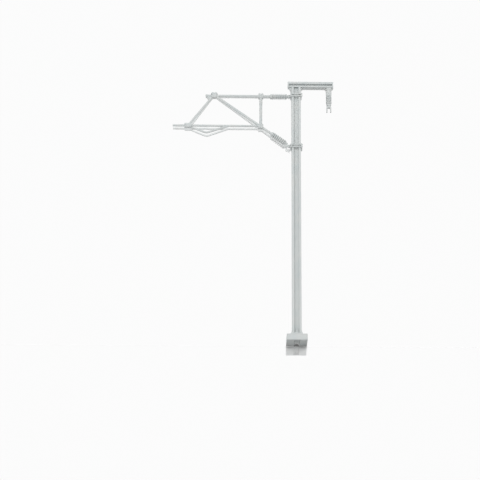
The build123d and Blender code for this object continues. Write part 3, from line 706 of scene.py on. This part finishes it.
CLAMP_NUT_RADIUS, CLAMP_NUT_HEIGHT, CLAMP_NUT_STUD = 0.19, 0.1, 0.13
CLAMP_STUD = [(0, 0), (0, 0.12), (0.24, 0.12), (0.3, 0.06), (0.3, 0)]
STRUT_HEAD_SUNK, STRUT_FOOT_SUNK = 0.05, 0.1
REGISTRATION_NUT_SIDE, APEX_NUT_SIDE, APEX_NUT_RISE = 0.5, 0.32, 0.26
SADDLE_TOP_HALF, SADDLE_GROOVE, SADDLE_GROOVE_DEPTH = 0.475, 0.16, 0.12
SADDLE_STEPS, SADDLE_STEP_TURN = 8, 22.5
STEADY_ARM_RADIUS, STEADY_ARM_END, STEADY_ARM_TIP = 0.22, 0.8, 0.04
STEADY_ARM_HEAD_DROP, STEADY_ARM_END_INSET, STEADY_ARM_END_DROP = 0.225, 0.08, 0.02
STEADY_ARM_LOW, STEADY_ARM_BEND, STEADY_ARM_STEPS = (3.2, -1.65), 0.6, 12


def tube(node, start, end, radius):
    """A round tube with the mould's seam along its top and its foot."""
    run = (end - start).normalized()
    top = DEEP.cross(run)
    seams = [seam(start + top * side * radius, end + top * side * radius, top * side) for side in (-1, 1)]
    mould([bar(start, end, radius)] + seams, node)


def fitting(node, extras):
    """A tube clamp with eased edges."""
    low, high = span(node)
    mould([box(low, high, FITTING_EDGE)] + extras, node)


def front_and_back(node, dx, dz, make):
    """The same detail on both faces of a fitting, at a place given from its centre."""
    low, high = span(node)
    centre = (low + high) / 2
    x, z = centre.x + dx, centre.z + dz
    return make(Vector((x, low.y, z)), -DEEP) + make(Vector((x, high.y, z)), DEEP)


def ringed_dome(place, axis):
    """A bolt's dome inside a raised ring."""
    rim = turned(place, axis, rounded(RING, RING_ROUND), RING_SIDES)
    return [rim, turned(place, axis, RING_DOME, STUD_SIDES)]


def small_nut(place, axis):
    return hex_nut(place, axis, SMALL_NUT_RADIUS, SMALL_NUT_HEIGHT, SMALL_NUT_STUD)


def top_tube():
    low, high = span("top_tube")
    z, radius = level("top_tube")
    tube("top_tube", Vector((high.x, 0, z)), Vector((low.x, 0, z)), radius)


def top_tube_stop():
    """The stop on the top tube's end, with the small web that runs down from it to the apex clamp."""
    low, high = span("top_tube_stop")
    z, _ = level("top_tube")
    _, radius = level("top_tube_stop")
    length = high.x - low.x
    stop = [(-SUNK_DEEP, 0), (-SUNK_DEEP, radius), (length * 0.75, radius)]
    stop += [(length, radius * 0.72), (length, 0)]
    apex = span("apex_clamp")[0].x
    web = [(low.x + STOP_WEB_INSET, z), (apex, z), (apex, z - STOP_WEB_HEAD)]
    web.append((high.x + STOP_WEB_REACH, z - STOP_WEB_DROP))
    body = turned(Vector((high.x, 0, z)), -ACROSS, rounded(stop))
    mould([body, plate(web, -STOP_WEB_HALF, 2 * STOP_WEB_HALF, FINE_EDGE)], "top_tube_stop")


def strut_clamp():
    """The strut's clamp on the top tube: two studs with nuts on its top and a ring on each face."""
    low, high = span("strut_clamp")
    z, _ = level("top_tube")
    x, top = middle("strut_clamp").x, middle("top_tube").z + CLAMP_BODY_RISE
    parts = [box(low, Vector((high.x, high.y, top)), FITTING_EDGE)]
    for side in (-CLAMP_STUD_SIDE, CLAMP_STUD_SIDE):
        place = Vector((x + side, 0, top))
        parts += hex_nut(place, UP, CLAMP_NUT_RADIUS, CLAMP_NUT_HEIGHT, CLAMP_NUT_STUD)
        parts.append(turned(place, UP, CLAMP_STUD, ROD_SIDES))
    parts += ringed_dome(Vector((x, low.y, z)), -DEEP) + ringed_dome(Vector((x, high.y, z)), DEEP)
    mould(parts, "strut_clamp")


def strut():
    """The strut and the sleeve round its head."""
    top, foot, radius = upright("strut_sleeve")
    drop = top.z - foot.z
    sleeve = [(-SUNK_DEEP, 0), (-SUNK_DEEP, radius), (drop * 0.9, radius)]
    sleeve += [(drop, radius * 0.88), (drop, 0)]
    mould([turned(top, -UP, rounded(sleeve))], "strut_sleeve")
    top, foot, radius = upright("strut")
    tube("strut", top + UP * STRUT_HEAD_SUNK, foot - UP * STRUT_FOOT_SUNK, radius)


def bracket(apex, knuckle, tube_end):
    """The long diagonal from the apex to the knuckle, and its tail from there to the lower insulator."""
    tube("bracket_tube", apex + ACROSS * BRACKET_HEAD_INSET, knuckle, BRACKET_RADIUS)
    tube("bracket_tail", knuckle, tube_end, BRACKET_RADIUS)
    fitting("knuckle", front_and_back("knuckle", 0, 0, ringed_dome))


def registration(apex, knuckle):
    """The rake tube from the apex, and the clamp that joins it to the registration tube."""
    low, high = span("registration_clamp")
    head = apex - ACROSS * RAKE_HEAD_INSET
    foot = Vector((high.x - RAKE_FOOT_INSET, 0, high.z))
    tube("rake_tube", head, foot + (foot - head).normalized() * RAKE_RADIUS, RAKE_RADIUS)
    nuts = front_and_back("registration_clamp", -REGISTRATION_NUT_SIDE, 0, small_nut)
    nuts += front_and_back("registration_clamp", REGISTRATION_NUT_SIDE, 0, small_nut)
    fitting("registration_clamp", nuts)
    z, radius = level("registration_tube")
    end = span("registration_tube")[0].x
    tube("registration_tube", Vector((end, 0, z)), Vector((knuckle.x, 0, z)), radius)


def apex_clamp():
    nuts = front_and_back("apex_clamp", -APEX_NUT_SIDE, APEX_NUT_RISE, small_nut)
    nuts += front_and_back("apex_clamp", APEX_NUT_SIDE, -APEX_NUT_RISE, small_nut)
    fitting("apex_clamp", nuts)


def messenger_saddle():
    """The block on the apex, with a groove for the wire across its top."""
    low, high = span("messenger_saddle")
    x = (low.x + high.x) / 2
    outline = [(low.x, low.z - SUNK), (high.x, low.z - SUNK), (x + SADDLE_TOP_HALF, high.z)]
    outline.append((x + SADDLE_GROOVE, high.z))
    for step in range(1, SADDLE_STEPS):
        turn = math.radians(SADDLE_STEP_TURN * step)
        depth = math.sin(turn) * SADDLE_GROOVE_DEPTH
        outline.append((x + math.cos(turn) * SADDLE_GROOVE, high.z - depth))
    outline += [(x - SADDLE_GROOVE, high.z), (x - SADDLE_TOP_HALF, high.z)]
    mould([plate(outline, low.y, high.y - low.y, FINE_EDGE)], "messenger_saddle")


def swept(path, radius):
    """A round rod along a path in the cantilever's plane, with eased ends."""
    last = len(path) - 1
    bm = bmesh.new()
    rings = []
    for i, centre in enumerate(path):
        run = (path[min(i + 1, last)] - path[max(i - 1, 0)]).normalized()
        size = radius * STEADY_ARM_END if i in (0, last) else radius
        rings.append(ring(bm, centre, DEEP.cross(run), DEEP, size, PIN_SIDES))
    skin(bm, rings)
    bm.faces.new(rings[0])
    bm.faces.new(rings[-1])
    return bm


def steady_arm():
    """The bowed arm, from the registration clamp down to its lowest point and up to the tube."""
    clamp_end = span("registration_clamp")[1].x
    arm_end = span("steady_arm")[1].x
    z = middle("registration_tube").z
    low_x, low_z = STEADY_ARM_LOW
    corners = [(clamp_end - 2 * STEADY_ARM_RADIUS, z - STEADY_ARM_HEAD_DROP)]
    corners.append((clamp_end + low_x, z + low_z))
    corners.append((arm_end - STEADY_ARM_END_INSET, z - STEADY_ARM_END_DROP))
    bend = rounded(corners, STEADY_ARM_BEND, STEADY_ARM_STEPS)
    last = Vector(bend[-1])
    tip = last - (last - Vector(bend[-2])).normalized() * STEADY_ARM_TIP
    path = bend[:-1] + [tuple(tip), tuple(last)]
    mould([swept([Vector((x, 0, h)) for x, h in path], STEADY_ARM_RADIUS)], "steady_arm")


def cantilever():
    """Both insulators and the frame that they carry, from the mast outwards."""
    long_rod("upper", -ACROSS)
    slope = (middle("lower_insulator_tube_cap") - middle("lower_insulator")).normalized()
    nose, tube_end = long_rod("lower", slope)
    lower_link(nose)
    top_tube()
    top_tube_stop()
    strut_clamp()
    strut()
    apex, knuckle = middle("apex_clamp"), middle("knuckle")
    apex.z = middle("top_tube").z
    bracket(apex, knuckle, tube_end)
    registration(apex, knuckle)
    apex_clamp()
    messenger_saddle()
    steady_arm()


foundation()
mast()
cross_arm()
feeder_hanger()
feeder_sleeve()
feeder_insulator()
feeder_fork()
mast_clamp("upper_mast_clamp", UPPER_PIN_Z)
mast_clamp("lower_mast_clamp", LOWER_PIN_Z)
hinge_pins()
upper_link()
cantilever()


# ---------------------------------------------------------------- light
WHITE = 0.97
WORLD_LIGHT = 0.62
TARGET = Vector((-6.0, 0.0, 26.0)) * MM
LAMP_DISTANCE = 0.40


def area_lamp(name, direction, light, width):
    """A soft square lamp aimed at the mast; light is what it gives a surface that faces it."""
    lamp = bpy.data.lights.new(name, "AREA")
    lamp.size = width
    lamp.energy = light * math.pi * math.pi * LAMP_DISTANCE ** 2
    obj = bpy.data.objects.new(name, lamp)
    bpy.context.scene.collection.objects.link(obj)
    back = Vector(direction).normalized()
    obj.location = TARGET + back * LAMP_DISTANCE
    obj.rotation_mode = "QUATERNION"
    obj.rotation_quaternion = back.to_track_quat("Z", "Y")
    obj.visible_glossy = False
    obj.visible_camera = False


def studio_world():
    """Even light from all sides, which the camera and reflections see as white."""
    world = bpy.data.worlds.new("studio")
    bpy.context.scene.world = world
    world.use_nodes = True
    nodes, links = world.node_tree.nodes, world.node_tree.links
    nodes.clear()
    out = nodes.new("ShaderNodeOutputWorld")
    background = nodes.new("ShaderNodeBackground")
    background.inputs["Color"].default_value = (1, 1, 1, 1)
    path = nodes.new("ShaderNodeLightPath")
    seen = nodes.new("ShaderNodeMath")
    seen.operation = "MAXIMUM"
    links.new(path.outputs["Is Camera Ray"], seen.inputs[0])
    links.new(path.outputs["Is Glossy Ray"], seen.inputs[1])
    strength = nodes.new("ShaderNodeMapRange")
    strength.inputs["To Min"].default_value = WORLD_LIGHT
    strength.inputs["To Max"].default_value = WHITE
    links.new(seen.outputs[0], strength.inputs["Value"])
    links.new(strength.outputs[0], background.inputs["Strength"])
    links.new(background.outputs[0], out.inputs[0])


area_lamp("key", (-0.16, -0.96, 0.20), 0.52, 0.25)
area_lamp("top_back", (-0.15, 0.60, 0.78), 0.75, 0.30)
area_lamp("side", (0.97, 0.10, 0.15), 0.25, 0.25)
studio_world()


# ---------------------------------------------------------------- stage materials
# The clear sheets lie under the floor. A camera ray from below crosses them and the floor before it meets
# an upper board. A ray from above crosses at most two other boards, which is fewer.
CLEAR_SHEETS, CLEAR_STEP = 2, 0.002 * MM
FLOOR_PALE, FLOOR_GLOW, FLOOR_FADE = 0.75, 0.5, (0.05, 0.35)
BOARD_ROUGHNESS = 0.03
# Painted shade on the board below the floor, as all but camera rays see it: how far under the foot it
# reaches, and its colour near and far.
BOUNCE_REACH, BOUNCE_NEAR, BOUNCE_FAR = 9.0 * MM, 0.05, 0.95
# The keyway's sheet of painted shade: its half width, its top, and its glow at the bottom and at the top.
KEYWAY_HALF, KEYWAY_TOP, KEYWAY_DARK, KEYWAY_PALE = 0.6 * MM, 0.6 * MM, 0.09, 0.21


def own_height(t):
    """How high a point is over the mast's foot."""
    place = t.add("SeparateXYZ")
    t.link(t.add("TexCoord").outputs["Object"], place.inputs[0])
    return place.outputs["Z"]


def blended(t, share, first, second):
    """One shader where share is 0, another where it is 1, and a mix of them between."""
    mixed = t.add("MixShader")
    t.link(share, mixed.inputs[0])
    t.link(first, mixed.inputs[1])
    t.link(second, mixed.inputs[2])
    return mixed.outputs[0]


def white_shader(t):
    """A pale surface that takes shadows and also glows white. Away from the mast the glow takes over, so
    that the floor has no edge."""
    distance = t.add("VectorMath", operation="LENGTH")
    t.link(t.add("TexCoord").outputs["Object"], distance.inputs[0])
    pale = t.add("BsdfDiffuse")
    pale.inputs["Color"].default_value = (FLOOR_PALE, FLOOR_PALE, FLOOR_PALE, 1)
    glow = t.add("Emission")
    glow.inputs["Strength"].default_value = WHITE
    share = ranged(t, distance.outputs["Value"], *FLOOR_FADE, FLOOR_GLOW, 1)
    return blended(t, share, pale.outputs[0], glow.outputs[0])


def shown_where(t, shader, mask):
    """Shows a shader where the mask is 1 and nothing where it is 0."""
    t.link(blended(t, mask, t.add("BsdfTransparent").outputs[0], shader), t.out.inputs[0])


def contact_shade(t, reach, dark, light, least, full=WHITE):
    """How brightly a surface glows: least where it is as covered as dark says, and full where as open as
    light says."""
    return ranged(t, openness(t, reach), dark, light, least, full)


def glossy_board(name, mirror, shade, seen_by, touch=None):
    """A white board that glows less where the mast covers it, and mirrors the mast: mirror is the share of
    reflection. shade and touch are contact shades, a wide one and one for where the mast comes closest."""
    t = Tree(name)
    strength = contact_shade(t, *shade)
    if touch:
        strength = times(t, strength, contact_shade(t, *touch))
    glow = t.add("Emission")
    t.link(strength, glow.inputs["Strength"])
    gloss = t.add("BsdfGlossy")
    gloss.inputs["Color"].default_value = (1, 1, 1, 1)
    gloss.inputs["Roughness"].default_value = BOARD_ROUGHNESS
    mixed = t.add("MixShader")
    mixed.inputs[0].default_value = mirror
    t.link(glow.outputs[0], mixed.inputs[1])
    t.link(gloss.outputs[0], mixed.inputs[2])
    seen_by(t, mixed.outputs[0])
    return t.material


def seen_through_floor(t, shader):
    """Shows a shader only to camera rays that came up through the floor and the clear sheets under it, so
    that it backs the picture taken from below and no other."""
    path = t.add("LightPath")
    crossed = t.add("Math", operation="GREATER_THAN")
    crossed.inputs[1].default_value = CLEAR_SHEETS + 0.5
    t.link(path.outputs["Transparent Depth"], crossed.inputs[0])
    shown_where(t, shader, times(t, crossed.outputs[0], path.outputs["Is Camera Ray"]))


def plain_to_light(t, shader):
    """Shows a shader to the camera, and to all other rays a plain surface whose colour is painted shade:
    dark just under the mast's foot, where the block shades the board, and white further down."""
    plain = t.add("BsdfDiffuse")
    t.link(ranged(t, own_height(t), -BOUNCE_REACH, 0, BOUNCE_FAR, BOUNCE_NEAR), plain.inputs["Color"])
    camera_ray = t.add("LightPath").outputs["Is Camera Ray"]
    t.link(blended(t, camera_ray, plain.outputs[0], shader), t.out.inputs[0])


def keyway_shade(seen_by):
    """Painted deep shade at the far end of the keyway: a dim glow, darkest at the block's underside."""
    t = Tree("keyway_shade")
    glow = t.add("Emission")
    t.link(ranged(t, own_height(t), 0, KEYWAY_TOP, KEYWAY_DARK, KEYWAY_PALE), glow.inputs["Strength"])
    seen_by(t, glow.outputs[0])
    return t.material


def pale_floor():
    """A pale floor, seen only from above, that keeps the mast's shadow."""
    t = Tree("pale_floor")
    front = t.add("Math", operation="SUBTRACT")
    front.inputs[0].default_value = 1
    t.link(t.add("NewGeometry").outputs["Backfacing"], front.inputs[1])
    camera_ray = t.add("LightPath").outputs["Is Camera Ray"]
    shown_where(t, white_shader(t), times(t, front.outputs[0], camera_ray))
    return t.material


def clear():
    t = Tree("clear")
    t.link(t.add("BsdfTransparent").outputs[0], t.out.inputs[0])
    return t.material


# ---------------------------------------------------------------- stage
FLOOR_REACH = 3.0
FLOOR_Z = CAD_BOX[0].z - 0.02 * MM
BOARD_SIDE, BOARD_BOTTOM, BOARD_TOP = 0.2, -0.12, 0.2
BOARD_Y, KEYWAY_Y = CAD_BOX[1].y + 0.02 * MM, CAD_BOX[1].y + 0.005 * MM
# The boards' rise in Y along Z, and the lower one's along X.
LEAN_ABOVE, LEAN_BELOW, LEAN_FRAME, TURN_BELOW = -0.0332, 0.054, -0.112, -0.01
# The frame's board ends at FRAME_SIDE, and is FRAME_BACK behind the mast's middle at FRAME_HEIGHT.
FRAME_SIDE, FRAME_HEIGHT, FRAME_BACK = -1.3 * MM, 54.65 * MM, 0.27 * MM
FRAME_Y = FRAME_BACK - LEAN_FRAME * FRAME_HEIGHT
# Each board's share of reflection, and its contact shades: reach, dark, light, least and full.
MIRROR_BELOW, SHADE_BELOW, TOUCH_BELOW = 0.6, (4.0, 0.45, 0.80, 0.40), (1.0, 0.5, 0.92, 0.30, 1.0)
MIRROR_MAST, SHADE_MAST = 0.0, (0.5, 0.25, 0.65, 0.3)
MIRROR_FRAME, SHADE_FRAME = 0.7, (2.0, 0.05, 0.25, 0.9)


def sheet(name, corners, material, shades=False):
    """A flat sheet of the stage; its glow is only for the camera, so it isn't sampled as a lamp."""
    mesh = bpy.data.meshes.new(name)
    mesh.from_pydata(corners, [], [(0, 1, 2, 3)])
    mesh.materials.append(material)
    material.cycles.emission_sampling = "NONE"
    obj = bpy.data.objects.new(name, mesh)
    bpy.context.scene.collection.objects.link(obj)
    obj.visible_shadow = shades


def level_sheet(name, z, material):
    r = FLOOR_REACH
    sheet(name, [(-r, -r, z), (r, -r, z), (r, r, z), (-r, r, z)], material)


def board(name, sides, heights, slope, material, shades=False):
    """A board behind the mast, between two sides and two heights; slope is its Y at the origin and its
    rise in Y along Z and X."""
    (left, right), (low, high), (back, lean, turn) = sides, heights, slope
    corners = [(left, low), (right, low), (right, high), (left, high)]
    sheet(name, [(x, back + lean * z + turn * x, z) for x, z in corners], material, shades)


def floor_sheets():
    level_sheet("floor", FLOOR_Z, pale_floor())
    for number in range(1, CLEAR_SHEETS + 1):
        level_sheet("clear_sheet_%d" % number, FLOOR_Z - number * CLEAR_STEP, clear())


def board_below_floor():
    """The board that mirrors the mast's foot and lights the underside of the foundation block."""
    material = glossy_board("board_below_floor", MIRROR_BELOW, SHADE_BELOW, plain_to_light, TOUCH_BELOW)
    board("board_below_floor", (-BOARD_SIDE, BOARD_SIDE), (BOARD_BOTTOM, FLOOR_Z),
          (BOARD_Y, LEAN_BELOW, TURN_BELOW), material, True)


def board_behind_mast():
    """The board that the mast lies close to, which shows only its contact shades."""
    material = glossy_board("board_behind_mast", MIRROR_MAST, SHADE_MAST, seen_through_floor)
    board("board_behind_mast", (FRAME_SIDE, BOARD_SIDE), (FLOOR_Z, BOARD_TOP),
          (BOARD_Y, LEAN_ABOVE, 0.0), material)


def board_behind_frame():
    """The board close behind the cantilever, which mirrors its tubes."""
    material = glossy_board("board_behind_frame", MIRROR_FRAME, SHADE_FRAME, seen_through_floor)
    board("board_behind_frame", (-BOARD_SIDE, FRAME_SIDE), (FLOOR_Z, BOARD_TOP),
          (FRAME_Y, LEAN_FRAME, 0.0), material)


def keyway_end():
    """A sheet of painted shade at the dark end of the keyway, between the block's back and the board
    behind it.
    """
    board("keyway_shade", (-KEYWAY_HALF, KEYWAY_HALF), (FLOOR_Z, KEYWAY_TOP), (KEYWAY_Y, LEAN_ABOVE, 0.0),
          keyway_shade(seen_through_floor))


floor_sheets()
board_below_floor()
board_behind_mast()
board_behind_frame()
keyway_end()

bpy.context.scene.view_settings.view_transform = "Standard"
